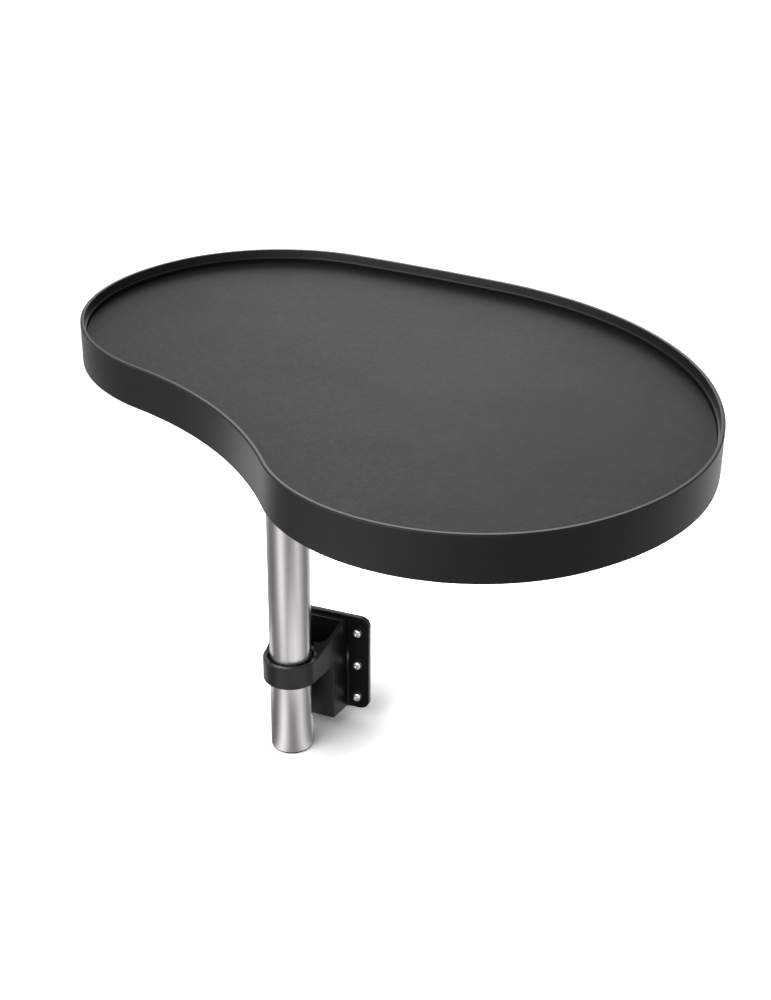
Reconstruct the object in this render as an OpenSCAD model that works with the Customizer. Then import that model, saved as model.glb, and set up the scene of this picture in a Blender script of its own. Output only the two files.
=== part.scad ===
// Swivelling side tray on a round pole, held by a wall bracket.
// Origin: middle of the wall screw pattern, on the back face of the bracket plate.
// +Z is up, +Y points into the wall, and the pole stands at -Y.

/* [Tray outline] */
// Radius of the far end
end_r = 146; // [130:1:160]
// Radius of the far end's back corner
shoulder_r = 211; // [190:1:230]
// Radius of the bulging back
back_r = 310; // [280:1:340]
// Radius of the nearly straight stretch of the back
flat_r = 1790; // [1200:10:2600]
// Radius of the back corner at the pole end
pole_corner_r = 143; // [130:1:156]
// Radius of the front at the pole end
pole_front_r = 184; // [170:1:200]
// Radius of the hollow waist in the front
waist_r = 359; // [320:1:400]
// Distance from the pole to the middle of the far end
end_reach = 302.5; // [280:0.5:325]
// How far the far end sits off the pole's centre line
end_shift = 7.5; // [0:0.5:15]
// Turn of the tray about the pole in its stored pose, in degrees
tray_turn = -41; // [-60:1:-20]

/* [Tray section] */
// Height of the tray's outer wall
tray_h = 34; // [30:0.5:44]
// Thickness of the rim and skirt
rim_t = 3; // [2.5:0.1:4]
// Depth of the upper inside wall, down to the ledge
ledge_deep = 7.5; // [5:0.5:9]
// Width of the narrow ledge
ledge_w = 1.5; // [1:0.1:3]
// Depth of the floor under the rim's top
floor_deep = 12; // [10.5:0.5:15]
// Thickness of the floor
floor_t = 3.2; // [2.5:0.1:4.5]
// Thickness of the ribs under the floor
rib_t = 2.2; // [1.6:0.1:3]
// Height of the ribs under the floor
rib_h = 13; // [9:0.5:14]
// Distance between the curved ribs
rib_pitch = 135; // [112:1:150]

/* [Pole] */
// Outside diameter of the pole
pole_d = 38.1; // [34:0.1:42]
// Wall thickness of the pole
pole_wall = 1.5; // [1.2:0.1:2.5]
// Height of the rim's top above the foot of the pole
rim_height = 434; // [420:1:460]
// Thickness of the foot cap's flange
foot_flange = 2; // [1.5:0.1:3]
// Length of the foot cap inside the pole
foot_plug = 16; // [10:1:24]

/* [Swivel socket] */
// Radius of the socket's flange
flange_r = 54; // [48:0.5:58]
// Thickness of the socket's flange
flange_t = 6; // [4:0.5:8]
// Length of the socket from the flange's top
socket_len = 75; // [66:1:85]
// Wall thickness of the socket
socket_wall = 5.9; // [4:0.1:7]
// Radius of the circle of socket screws
socket_screw_ring = 40; // [37:0.5:43]
// Depth of the screw bosses under the floor
boss_drop = 6.8; // [5:0.1:9]
// Height of the swivel plug's head above the pole
plug_head = 18; // [16:0.5:22]

/* [Bracket] */
// Plate to the right of the pole
plate_right = 55; // [52:0.5:62]
// Plate to the left of the pole
plate_left = 50; // [49:0.5:62]
// Thickness of the bracket plate
plate_t = 5.5; // [4.5:0.1:7]
// Plate above the middle of the screw pattern
plate_up = 52.5; // [50:0.5:58]
// Plate below the middle of the screw pattern
plate_down = 48; // [46:0.5:54]
// Radius of the plate's corners
plate_corner = 9; // [6:0.5:10]
// Distance from the pole's centre to the plate's front face
pole_offset = 57; // [54:0.5:64]
// Wall thickness of the collar, arms and box
shell_wall = 4.2; // [3.6:0.1:4.6]
// Height of the collar
collar_h = 22.8; // [20:0.1:26]
// Underside of the collar above the middle of the screw pattern
collar_low = 10.7; // [9:0.1:14]
// Flare of each arm, in degrees
arm_flare = 7; // [4:0.5:9]
// Gap between the pole's centre and the box's front face
box_gap = 31; // [30:0.5:33]
// Fillet between the box and the plate
root_fillet = 2.5; // [1:0.1:3.5]

/* [Collar bush] */
// Wall thickness of the bush
bush_wall = 2.45; // [1.8:0.05:3]
// How far the bush sits under the collar's top
bush_sunk = 5; // [3:0.5:6]
// Thickness of the lip that carries the bush
lip_t = 3.8; // [2.5:0.1:5]

/* [Wall screws] */
// Distance between the two columns of wall screws
screw_span = 86; // [84:0.5:90]
// Distance between wall screws in a column
screw_pitch = 35.5; // [34:0.5:38]
// Diameter of a wall screw
screw_d = 4.8; // [4:0.1:5]
// Diameter of a wall screw's head
screw_head_d = 7.8; // [7:0.1:8.4]
// Length of a wall screw under its head
screw_len = 25; // [20:1:35]

/* [Hidden] */
$fn = 96;

// Clearances
running_gap = 0.05;
screw_gap = 0.35;
press_gap = 0.05;
lip_gap = 0.55;

// How far a cut runs past a face, and how far a rib or post runs into what it joins
eps = 1;
bite = 0.5;

// How far faces cross where they run into each other at a tangent
tangent_bite = 0.05;

// Heights, all from the middle of the wall screw pattern
foot_depth = 64.5;
foot_z = -foot_depth;
rim_z = foot_z + rim_height;
skirt_z = rim_z - tray_h;
ledge_z = rim_z - ledge_deep;
floor_z = rim_z - floor_deep;
under_z = floor_z - floor_t;
seat_z = under_z - boss_drop;
thrust_z = seat_z - flange_t;
pole_top_z = thrust_z - plug_head;
tube_z = foot_z + foot_flange;

// Pole, bush and collar radii
pole_r = pole_d / 2;
bore_r = pole_r - pole_wall;
bush_in_r = pole_r + running_gap;
bush_out_r = bush_in_r + bush_wall;
collar_in_r = bush_out_r + running_gap;
collar_r = collar_in_r + shell_wall;
collar_z = collar_low + collar_h;
bush_z = collar_low + lip_t;
bush_h = collar_h - lip_t - bush_sunk;
pole_y = -(plate_t + pole_offset);

// Bracket: the arms leave the collar at a tangent. Their tops start to rise just behind the pole's centre
// and end under the plate's top.
arm_start = 3;
arm_drop = 3;
web_t = 4;
box_front_wall = 4;
box_back_wall = 4;
corner_r = 9;
corner_root = 8;

// Collar clamping screw, in the hidden side of the collar
clamp_angle = 168;
clamp_d = 6;
clamp_len = 5;
clamp_socket_d = 3;
clamp_socket_deep = 2.5;
clamp_z = bush_z + bush_h / 2;

// Swivel plug and the screw that keeps the tray on it
plug_depth = 22;
plug_wall = 5;
plug_web = 2;
groove_w = 4.4;
groove_deep = 2.6;
groove_z = pole_top_z + plug_head / 2;
swivel_d = 5;
swivel_tip_gap = 0.3;
swivel_tip_d = groove_w - 2 * swivel_tip_gap;
swivel_socket_deep = 2;
swivel_side = 180;

// Socket screws and their bosses
socket_screws = 4;
socket_screw_angles = [for (k = [0 : socket_screws - 1]) 45 + k * 90];
socket_screw_d = 4.2;
socket_head_d = 8;
socket_head_h = 2.4;
socket_screw_hold = 7;
boss_r = 6;
gussets = 8;
gusset_t = 3;
gusset_h = 28;
gusset_set_in = 4;
gusset_edge = 2;

// Wall screws
head_h = 2.6;
neck_d = 5.2;
screw_point = 4;
screw_tip_r = 0.4;

// Foot cap
cap_wall = 2.45;
cap_set_in = 0.25;

function dir(a) = [cos(a), sin(a)];

// Outline of the tray: six outward arcs, each tangent to the next, closed by the waist.
// arc_end is the direction, seen from the arcs' centres, in which one arc meets the next.
arc_r = [end_r, shoulder_r, back_r, flat_r, pole_corner_r, pole_front_r];
arc_end = [0, 45, 120.1, 124.95, 192];
arcs = len(arc_r);

function arc_centre(i) = i == 0 ? [end_reach, end_shift]
    : arc_centre(i - 1) + (arc_r[i - 1] - arc_r[i]) * dir(arc_end[i - 1]);

// Point at distance ra from a and rb from b, on the right of the way from a to b
function right_meet(a, ra, b, rb) =
    let (d = norm(b - a), e = (b - a) / d, x = (ra * ra - rb * rb + d * d) / (2 * d))
    a + x * e + sqrt(ra * ra - x * x) * [e[1], -e[0]];

waist_centre = right_meet(arc_centre(arcs - 1), pole_front_r + waist_r, arc_centre(0), end_r + waist_r);

function heading(a, b) = atan2(b[1] - a[1], b[0] - a[0]);
waist_start = heading(arc_centre(0), waist_centre);
waist_finish = heading(arc_centre(arcs - 1), waist_centre) + 360;
function from_angle(i) = i == 0 ? waist_start : arc_end[i - 1];
function to_angle(i) = i == arcs - 1 ? waist_finish : arc_end[i];

// Points from one direction up to the next, no further apart than facet on the arc itself
facet = 9;
function arc_points(centre, r, from, to, inset) =
    let (n = ceil(abs(to - from) * PI / 180 * abs(r) / facet))
    [for (k = [0 : n - 1]) centre + (r - inset) * dir(from + (to - from) * k / n)];

// The waist is seen from its own centre, in front of the tray, so its radius counts as negative
function outline_points(inset) = concat(
    [for (i = [0 : arcs - 1]) each arc_points(arc_centre(i), arc_r[i], from_angle(i), to_angle(i), inset)],
    arc_points(waist_centre, -waist_r, waist_finish, waist_start + 360, inset));

module tray_outline(inset) {
    polygon(outline_points(inset));
}

// Prism of the tray's outline between two heights
module tray_prism(inset, low, high) {
    translate([0, 0, low]) linear_extrude(high - low) tray_outline(inset);
}

module at_pole() {
    translate([0, pole_y, 0]) children();
}

module in_tray() {
    at_pole() rotate([0, 0, tray_turn]) children();
}

module ring_2d(outer, inner) {
    difference() {
        circle(r = outer);
        circle(r = inner);
    }
}

// Ribs under the floor: a fan from the pole crossed by curved ribs about it
rib_clear = 1.2;
rib_start = flange_r + rib_clear;
rib_fan = 8;
rib_angles = [for (k = [0 : rib_fan - 1]) (k + 0.5) * 360 / rib_fan];
rib_reach = end_reach + end_r;
last_bay = rib_pitch / 3;
curved_ribs = floor((rib_reach - rib_start - last_bay) / rib_pitch);
module rib_plan() {
    intersection() {
        tray_outline(rim_t - bite);
        union() {
            ring_2d(rib_start + rib_t, rib_start);
            for (a = rib_angles) rotate(a) translate([rib_start + rib_t / 2, -rib_t / 2])
                square([rib_reach, rib_t]);
            for (k = [1 : curved_ribs]) ring_2d(rib_start + k * rib_pitch + rib_t, rib_start + k * rib_pitch);
        }
    }
}

module boss_plan() {
    ring_2d(collar_in_r + rib_t, collar_in_r);
    for (a = socket_screw_angles) rotate(a) {
        translate([socket_screw_ring, 0]) circle(r = boss_r);
        translate([collar_in_r + rib_t / 2, -rib_t / 2]) square([rib_start - collar_in_r, rib_t]);
    }
}

module tray() {
    color("#2b2b2b") in_tray() difference() {
        union() {
            difference() {
                tray_prism(0, skirt_z, rim_z);
                tray_prism(rim_t, ledge_z, rim_z + eps);
                tray_prism(rim_t + ledge_w, floor_z, ledge_z + eps);
                tray_prism(rim_t, skirt_z - eps, under_z);
            }
            translate([0, 0, under_z - rib_h]) linear_extrude(rib_h + floor_t / 2) rib_plan();
            translate([0, 0, seat_z]) linear_extrude(boss_drop + floor_t / 2) boss_plan();
        }
        for (a = socket_screw_angles) rotate([0, 0, a])
            translate([socket_screw_ring, 0, seat_z - eps])
                cylinder(d = socket_screw_d + 2 * running_gap, h = socket_screw_hold + eps + bite);
    }
}

// Cast socket: flange, sleeve and gussets, bored from below for the pole
module gusset() {
    root = pole_r + socket_wall - bite;
    toe = flange_r - gusset_set_in;
    rotate([90, 0, 0]) translate([0, 0, -gusset_t / 2]) linear_extrude(gusset_t)
        polygon([[root, thrust_z + bite], [toe, thrust_z + bite], [toe, thrust_z - gusset_edge],
                 [root + gusset_edge, thrust_z - gusset_h], [root, thrust_z - gusset_h]]);
}

module tray_socket() {
    color("#303030") in_tray() difference() {
        union() {
            translate([0, 0, thrust_z]) cylinder(r = flange_r, h = flange_t);
            translate([0, 0, seat_z - socket_len]) cylinder(r = pole_r + socket_wall, h = socket_len);
            for (k = [0 : gussets - 1]) rotate([0, 0, (k + 0.5) * 360 / gussets]) gusset();
        }
        translate([0, 0, seat_z - socket_len - eps])
            cylinder(r = pole_r + running_gap, h = socket_len - flange_t + eps);
        for (a = socket_screw_angles) rotate([0, 0, a]) translate([socket_screw_ring, 0, thrust_z - eps])
            cylinder(d = socket_screw_d + screw_gap, h = flange_t + 2 * eps);
        rotate([0, 0, swivel_side]) translate([pole_r - eps, 0, groove_z]) rotate([0, 90, 0])
            cylinder(d = swivel_d + 2 * running_gap, h = socket_wall + 2 * eps);
    }
}

// Crowned head with a flat bearing face, pointing up, standing on z = 0
module crowned_head(d, h) {
    rotate_extrude() polygon([[0, 0], [d / 2, 0], [d / 2, h * 0.45], [d * 0.45, h * 0.75],
                              [d * 0.32, h * 0.94], [d * 0.15, h], [0, h]]);
}

module socket_screw(k) {
    color("silver") in_tray() rotate([0, 0, socket_screw_angles[k]]) translate([socket_screw_ring, 0, 0]) {
        translate([0, 0, thrust_z]) rotate([180, 0, 0]) crowned_head(socket_head_d, socket_head_h);
        translate([0, 0, thrust_z - bite])
            cylinder(d = socket_screw_d, h = bite + flange_t + socket_screw_hold);
    }
}

module swivel_screw() {
    shank = socket_wall - running_gap;
    tip_r = pole_r - groove_deep + swivel_tip_gap;
    color("silver") in_tray() rotate([0, 0, swivel_side]) translate([0, 0, groove_z]) rotate([0, 90, 0])
        difference() {
            union() {
                translate([0, 0, pole_r + 2 * running_gap]) cylinder(d = swivel_d, h = shank);
                translate([0, 0, tip_r]) cylinder(d = swivel_tip_d, h = groove_deep + shank / 2);
            }
            translate([0, 0, pole_r + shank - swivel_socket_deep])
                cylinder(d = swivel_d / 2, h = swivel_socket_deep + eps, $fn = 6);
        }
}

module pole() {
    color("#b9b7b3") at_pole() translate([0, 0, tube_z]) difference() {
        cylinder(r = pole_r, h = pole_top_z - tube_z);
        translate([0, 0, -eps]) cylinder(r = bore_r, h = pole_top_z - tube_z + 2 * eps);
    }
}

module swivel_plug() {
    color("#e8e6e0") at_pole() difference() {
        union() {
            translate([0, 0, pole_top_z]) cylinder(r = pole_r, h = plug_head);
            translate([0, 0, pole_top_z - plug_depth])
                cylinder(r = bore_r - press_gap, h = plug_depth + bite);
        }
        translate([0, 0, groove_z - groove_w / 2]) difference() {
            cylinder(r = pole_r + eps, h = groove_w);
            translate([0, 0, -eps]) cylinder(r = pole_r - groove_deep, h = groove_w + 2 * eps);
        }
        translate([0, 0, pole_top_z - plug_depth - eps])
            cylinder(r = bore_r - plug_wall, h = plug_depth - plug_web + eps);
    }
}

module foot_cap() {
    color("#1e1e1e") at_pole() difference() {
        union() {
            translate([0, 0, foot_z]) cylinder(r = pole_r - cap_set_in, h = foot_flange);
            translate([0, 0, tube_z - bite]) cylinder(r = bore_r - press_gap, h = foot_plug + bite);
        }
        translate([0, 0, tube_z]) cylinder(r = bore_r - press_gap - cap_wall, h = foot_plug + eps);
    }
}

// Half width of the arms' outer faces at distance d behind the pole, moved in by inset
function arm_half(d, inset) = (collar_r - inset) / cos(arm_flare) + d * tan(arm_flare);

module arm_plan(d0, d1, inset) {
    polygon([[-arm_half(d0, inset), pole_y + d0], [arm_half(d0, inset), pole_y + d0],
             [arm_half(d1, inset), pole_y + d1], [-arm_half(d1, inset), pole_y + d1]]);
}

// Rounded fillings of the pocket's front corners, between the collar's ring and the arms
module corner_webs() {
    along = [sin(arm_flare), cos(arm_flare)];
    out = [cos(arm_flare), -sin(arm_flare)];
    reach = corner_r - tangent_bite;
    centre = (collar_in_r - reach) * out + sqrt(pow(collar_r + reach, 2) - pow(collar_in_r - reach, 2)) * along;
    for (s = [0, 1]) translate([0, pole_y]) mirror([s, 0]) difference() {
        polygon([(collar_in_r + bite) * out + corner_root * along,
                 (collar_in_r + bite) * out + (centre * along) * along, centre,
                 centre * collar_in_r / (collar_r + reach)]);
        circle(r = collar_r);
        translate(centre) circle(r = corner_r);
    }
}

// Board across the bracket with an outline in its side view, given as [y, z] points
module side_board(points) {
    rotate([90, 0, 90]) translate([0, 0, -plate_left]) linear_extrude(plate_left + plate_right) polygon(points);
}

module upright(plan_low, plan_high) {
    translate([0, 0, plan_low]) linear_extrude(plan_high - plan_low) children();
}

// Fillets in the corners between the box and the plate
module root_fillets() {
    edge = arm_half(pole_offset, tangent_bite);
    reach = root_fillet - tangent_bite;
    centre = edge + reach / cos(arm_flare) - reach * tan(arm_flare);
    for (s = [-1, 1]) difference() {
        polygon([[s * (edge - root_fillet), bite - plate_t], [s * centre, bite - plate_t],
                 [s * centre, -plate_t - reach], [s * (edge - root_fillet), -plate_t - reach]]);
        translate([s * centre, -plate_t - reach]) circle(r = root_fillet);
    }
}

// Collar, arms, box and fillets: the tops are level round the pole, then rise towards the plate's top
module shell() {
    front = pole_y - collar_r - eps;
    arm_up = plate_up - arm_drop;
    intersection() {
        side_board([[front, collar_low], [front, collar_z], [pole_y + arm_start, collar_z],
                    [-plate_t, arm_up], [-eps, arm_up], [-eps, -plate_down],
                    [pole_y + box_gap, -plate_down], [pole_y + box_gap, collar_low]]);
        upright(-plate_down, arm_up) union() {
            translate([0, pole_y]) circle(r = collar_r);
            arm_plan(-collar_r * sin(arm_flare), pole_offset + plate_t, tangent_bite);
            root_fillets();
        }
    }
}

// Pocket behind the collar, above the web, and the hollow of the box below it, open at the bottom.
// Above the collar's ring nothing stands between the arms.
module shell_hollow() {
    front = pole_y + box_gap + box_front_wall;
    back = -plate_t - box_back_wall;
    web_top = collar_low + web_t;
    intersection() {
        side_board([[pole_y, web_top], [pole_y, plate_up + eps], [back, plate_up + eps],
                    [back, -plate_down - eps], [front, -plate_down - eps], [front, web_top]]);
        upright(-plate_down - eps, plate_up + eps) difference() {
            arm_plan(0, pole_offset, shell_wall);
            translate([0, pole_y]) circle(r = collar_r);
            corner_webs();
        }
    }
    upright(collar_z, plate_up + eps) difference() {
        arm_plan(0, collar_r + eps, shell_wall);
        corner_webs();
    }
}

// Rounded plate from two crossing boards and four corner discs
module plate() {
    w = plate_left + plate_right;
    h = plate_up + plate_down;
    rotate([90, 0, 0]) linear_extrude(plate_t) union() {
        translate([plate_corner - plate_left, -plate_down]) square([w - 2 * plate_corner, h]);
        translate([-plate_left, plate_corner - plate_down]) square([w, h - 2 * plate_corner]);
        for (x = [plate_corner - plate_left, plate_right - plate_corner],
             z = [plate_corner - plate_down, plate_up - plate_corner])
            translate([x, z]) circle(r = plate_corner);
    }
}

module bracket() {
    color("#262626") difference() {
        union() {
            plate();
            shell();
        }
        shell_hollow();
        at_pole() translate([0, 0, collar_low - eps])
            cylinder(r = pole_r + lip_gap, h = collar_h + 2 * eps);
        at_pole() translate([0, 0, bush_z]) cylinder(r = collar_in_r, h = collar_h);
        clamp_place() translate([0, 0, bush_out_r - bite])
            cylinder(d = clamp_d + 2 * running_gap, h = collar_r);
        for (x = [-1, 1], k = [-1 : 1]) translate([x * screw_span / 2, eps, k * screw_pitch])
            rotate([90, 0, 0]) cylinder(d = screw_d + 2 * screw_gap, h = plate_t + 2 * eps);
    }
}

module collar_bush() {
    color("#1a1a1a") at_pole() translate([0, 0, bush_z]) difference() {
        cylinder(r = bush_out_r, h = bush_h);
        translate([0, 0, -eps]) cylinder(r = bush_in_r, h = bush_h + 2 * eps);
    }
}

module clamp_place() {
    at_pole() translate([0, 0, clamp_z]) rotate([0, 0, clamp_angle]) rotate([0, 90, 0]) children();
}

module collar_screw() {
    color("silver") clamp_place() translate([0, 0, bush_out_r + running_gap]) difference() {
        cylinder(d = clamp_d, h = clamp_len);
        translate([0, 0, clamp_len - clamp_socket_deep])
            cylinder(d = clamp_socket_d, h = clamp_socket_deep + eps, $fn = 6);
    }
}

// Wall screws 1 to 3 run down the right column, 4 to 6 down the left one
module wall_screw(k) {
    x = k < 3 ? screw_span / 2 : -screw_span / 2;
    z = (1 - k % 3) * screw_pitch;
    color("silver") translate([x, -plate_t, z]) {
        rotate([90, 0, 0]) crowned_head(screw_head_d, head_h);
        rotate([-90, 0, 0]) rotate_extrude()
            polygon([[0, -bite], [neck_d / 2, -bite], [neck_d / 2, plate_t - running_gap],
                     [screw_d / 2, plate_t - running_gap], [screw_d / 2, screw_len - screw_point],
                     [screw_tip_r, screw_len], [0, screw_len]]);
    }
}

tray();
tray_socket();
socket_screw(0);  // socket_screw_1
socket_screw(1);  // socket_screw_2
socket_screw(2);  // socket_screw_3
socket_screw(3);  // socket_screw_4
swivel_screw();
pole();
swivel_plug();
foot_cap();
bracket();
collar_bush();
collar_screw();
wall_screw(0);  // wall_screw_1
wall_screw(1);  // wall_screw_2
wall_screw(2);  // wall_screw_3
wall_screw(3);  // wall_screw_4
wall_screw(4);  // wall_screw_5
wall_screw(5);  // wall_screw_6
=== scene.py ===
import logging
import math
from dataclasses import dataclass
from enum import Enum
from typing import Callable, Iterable, Sequence

import bmesh
import bpy
from mathutils import Matrix, Vector


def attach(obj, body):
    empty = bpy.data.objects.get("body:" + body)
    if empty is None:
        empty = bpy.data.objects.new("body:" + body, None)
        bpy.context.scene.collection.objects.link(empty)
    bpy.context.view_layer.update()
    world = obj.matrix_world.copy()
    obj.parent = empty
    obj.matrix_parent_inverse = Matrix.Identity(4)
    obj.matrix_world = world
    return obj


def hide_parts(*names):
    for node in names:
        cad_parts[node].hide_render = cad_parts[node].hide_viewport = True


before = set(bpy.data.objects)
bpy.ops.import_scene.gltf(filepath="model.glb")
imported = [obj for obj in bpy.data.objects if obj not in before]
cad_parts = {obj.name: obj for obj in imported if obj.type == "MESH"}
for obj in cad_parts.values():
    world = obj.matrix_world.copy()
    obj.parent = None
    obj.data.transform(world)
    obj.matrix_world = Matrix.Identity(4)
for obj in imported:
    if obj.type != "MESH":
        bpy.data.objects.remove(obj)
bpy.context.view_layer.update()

LOG = logging.getLogger("side_tray")
MM = 0.001
Point = tuple[float, float]
Triple = tuple[float, float, float]
Range = tuple[float, float, float, float]
Socket = bpy.types.NodeSocket

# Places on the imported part, in millimetres from the middle of the wall screws: the pole's axis;
# the tray's rim, skirt, floor, underside and boss ends; the underside of the socket's flange; the
# tube's top and lower end, and the foot cap's underside
POLE_Y = -62.5
RIM_Z = 369.5
SKIRT_Z = 335.5
FLOOR_Z = 357.5
UNDER_Z = 354.3
SEAT_Z = 347.5
FLANGE_Z = 341.5
POLE_TOP_Z = 323.5
TUBE_Z = -62.5
FOOT_Z = -64.5
# The tray's turn about the pole in degrees, and the radius, number and first direction of the
# screws that hold it to its socket
TRAY_TURN = -41.0
SCREW_RING = 40.0
SOCKET_SCREWS = 4
FIRST_SCREW = 45.0
# A rubbed edge: turn between faces in degrees where it starts and where it is full, and its
# widest face in millimetres
EDGE_TURN = (5.0, 16.0)
EDGE_FACE = 0.8
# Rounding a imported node: points this near become one before it and after it, in millimetres;
# faces that turn less than this become one, and edges that turn more are corners, in degrees
NODE_MERGE = 0.12
ROUND_MERGE = 0.01
NODE_FLAT = 0.8
NODE_CORNER = 28.0
# Distance at which points are the same, the greatest share of a side that a rounding takes, and
# the turn in radians under which an outline is straight
CLOSE = 1e-6
SIDE_SHARE = 0.49
STRAIGHT = 1e-4
# Band of heights or depths, in millimetres, in which a point counts as on a face
ON_FACE = 0.02
ON_PLATE = 0.15


class Body(Enum):
    """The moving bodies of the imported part."""

    BRACKET = "bracket"
    POLE = "pole"
    TRAY = "tray"


class Slot(Enum):
    """The record's material slots."""

    TRAY = "tray_moulding"
    SOCKET = "socket_moulding"
    STEEL = "pole_steel"
    PLUG = "plug_plastic"
    CAP = "cap_plastic"
    BRACKET = "bracket_moulding"
    BUSH = "bush_plastic"
    HIDDEN_SCREW = "hidden_screw_steel"
    WALL_SCREW = "wall_screw_steel"


class Kind(Enum):
    """Types of a node group's inputs and outputs."""

    FLOAT = "NodeSocketFloat"
    INT = "NodeSocketInt"
    VECTOR = "NodeSocketVector"
    GEOMETRY = "NodeSocketGeometry"
    MATERIAL = "NodeSocketMaterial"


class Under(Enum):
    """What the underside's tree makes of a point."""

    BAR = 1.0
    CURVE = 2.0
    BOSS = 3.0


# ---------------------------------------------------------------- node helpers


class Tree:
    """A small builder for node trees, so that each tree reads from its inputs to its output."""

    def __init__(self, tree: bpy.types.NodeTree) -> None:
        """Keeps the node tree that is filled."""
        self.tree = tree

    def feed(self, socket: Socket, value: object) -> None:
        """Links another node's socket to an input, or sets anything else as its value.

        Args:
            socket: the input.
            value: the other socket or the value.
        """
        if isinstance(value, Socket):
            self.tree.links.new(value, socket)
        else:
            socket.default_value = value

    def node(self, kind: str, props: dict | None = None, **values: object) -> bpy.types.Node:
        """Adds a node.

        Args:
            kind: the node's type name.
            props: attributes set on the node itself, before its sockets are read.
            values: what feeds each input, by name with spaces as underscores, or i0, i1 by place.

        Returns:
            The new node.
        """
        made = self.tree.nodes.new(kind)
        for name, value in (props or {}).items():
            setattr(made, name, value)
        for name, value in values.items():
            by_place = name[0] == "i" and name[1:].isdigit()
            self.feed(made.inputs[int(name[1:]) if by_place else name.replace("_", " ")], value)
        return made

    def out(self, kind: str, props: dict | None = None, **values: object) -> Socket:
        """The first output of a new node, which is made as node makes it."""
        return self.node(kind, props, **values).outputs[0]

    def math(self, operation: str, a: object, b: object = 0.0, clamp: bool = False) -> Socket:
        """The result of a sum on two numbers or sockets, kept from 0 to 1 if it is clamped."""
        return self.out("ShaderNodeMath", {"operation": operation, "use_clamp": clamp}, i0=a, i1=b)

    def plus(self, base: object, value: object, share: object) -> Socket:
        """A base with a share of a value added."""
        return self.math("ADD", self.math("MULTIPLY", value, share), base)

    def measure(self, operation: str, a: object, b: object = (0.0, 0.0, 0.0)) -> Socket:
        """A length, a distance or a dot product of vectors."""
        made = self.node("ShaderNodeVectorMath", {"operation": operation}, i0=a, i1=b)
        return made.outputs["Value"]

    def xyz(self, x: object = 0.0, y: object = 0.0, z: object = 0.0) -> Socket:
        """A vector from three numbers or sockets."""
        return self.out("ShaderNodeCombineXYZ", None, X=x, Y=y, Z=z)

    def ramp(self, value: Socket, low: float, high: float, out_low: float = 0.0,
             out_high: float = 1.0) -> Socket:
        """Smooth step of a value from one range to another.

        Args:
            value: the socket that is read.
            low: value that gives out_low.
            high: value that gives out_high.
            out_low: result at low.
            out_high: result at high.

        Returns:
            The output socket.
        """
        made = self.node("ShaderNodeMapRange", {"interpolation_type": "SMOOTHSTEP"}, Value=value,
                         From_Min=low, From_Max=high, To_Min=out_low, To_Max=out_high)
        return made.outputs["Result"]

    def mix_colour(self, factor: object, a: object, b: object) -> Socket:
        """The first colour turning into the second as the factor goes from 0 to 1."""
        mixed = self.node("ShaderNodeMix", {"data_type": "RGBA"}, i0=factor, i6=a, i7=b)
        return mixed.outputs[2]

    def attribute(self, name: str) -> Socket:
        """A number that the mesh holds on its points."""
        return self.node("ShaderNodeAttribute", {"attribute_name": name}).outputs["Fac"]

    def object_place(self) -> Socket:
        """Object coordinates, in metres."""
        return self.node("ShaderNodeTexCoord").outputs["Object"]

    def noise(self, vector: Socket, size: object, **values: float) -> Socket:
        """Noise from 0 to 1.

        Args:
            vector: coordinates of the pattern.
            size: about how wide its clouds are, in the vector's unit.
            values: the node's other inputs.

        Returns:
            The output socket.
        """
        made = self.node("ShaderNodeTexNoise", None, Vector=vector,
                         Scale=self.math("DIVIDE", 1.0, size), **values)
        return made.outputs["Fac"]


def bare_tree(owner: bpy.types.Material | bpy.types.World) -> Tree:
    """Empties a node tree.

    Args:
        owner: the material or world that it belongs to.

    Returns:
        The tree's builder.
    """
    owner.use_nodes = True
    owner.node_tree.nodes.clear()
    return Tree(owner.node_tree)


def group_tree(tree_type: str, name: str, inputs: dict[str, object],
               outputs: dict[str, Kind]) -> tuple[Tree, dict[str, Socket]]:
    """Starts a node group.

    Args:
        tree_type: the tree's type name.
        name: the group's name.
        inputs: by name, the default of each number, or the kind of any other input.
        outputs: kind of each output, by name.

    Returns:
        The group's builder and its input sockets by name.
    """
    group = bpy.data.node_groups.new(name, tree_type)
    for label, value in inputs.items():
        kind = value if isinstance(value, Kind) else Kind.FLOAT
        socket = group.interface.new_socket(label, in_out="INPUT", socket_type=kind.value)
        if value is not kind:
            socket.default_value = value
    for label, kind in outputs.items():
        group.interface.new_socket(label, in_out="OUTPUT", socket_type=kind.value)
    t = Tree(group)
    return t, {s.name: s for s in t.node("NodeGroupInput").outputs if s.name}


def tint(base: Sequence[float], share: float = 1.0) -> Range:
    """An opaque colour from three linear values, each times a share."""
    return (base[0] * share, base[1] * share, base[2] * share, 1.0)


# ---------------------------------------------------------------- shared surface effects


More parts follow.
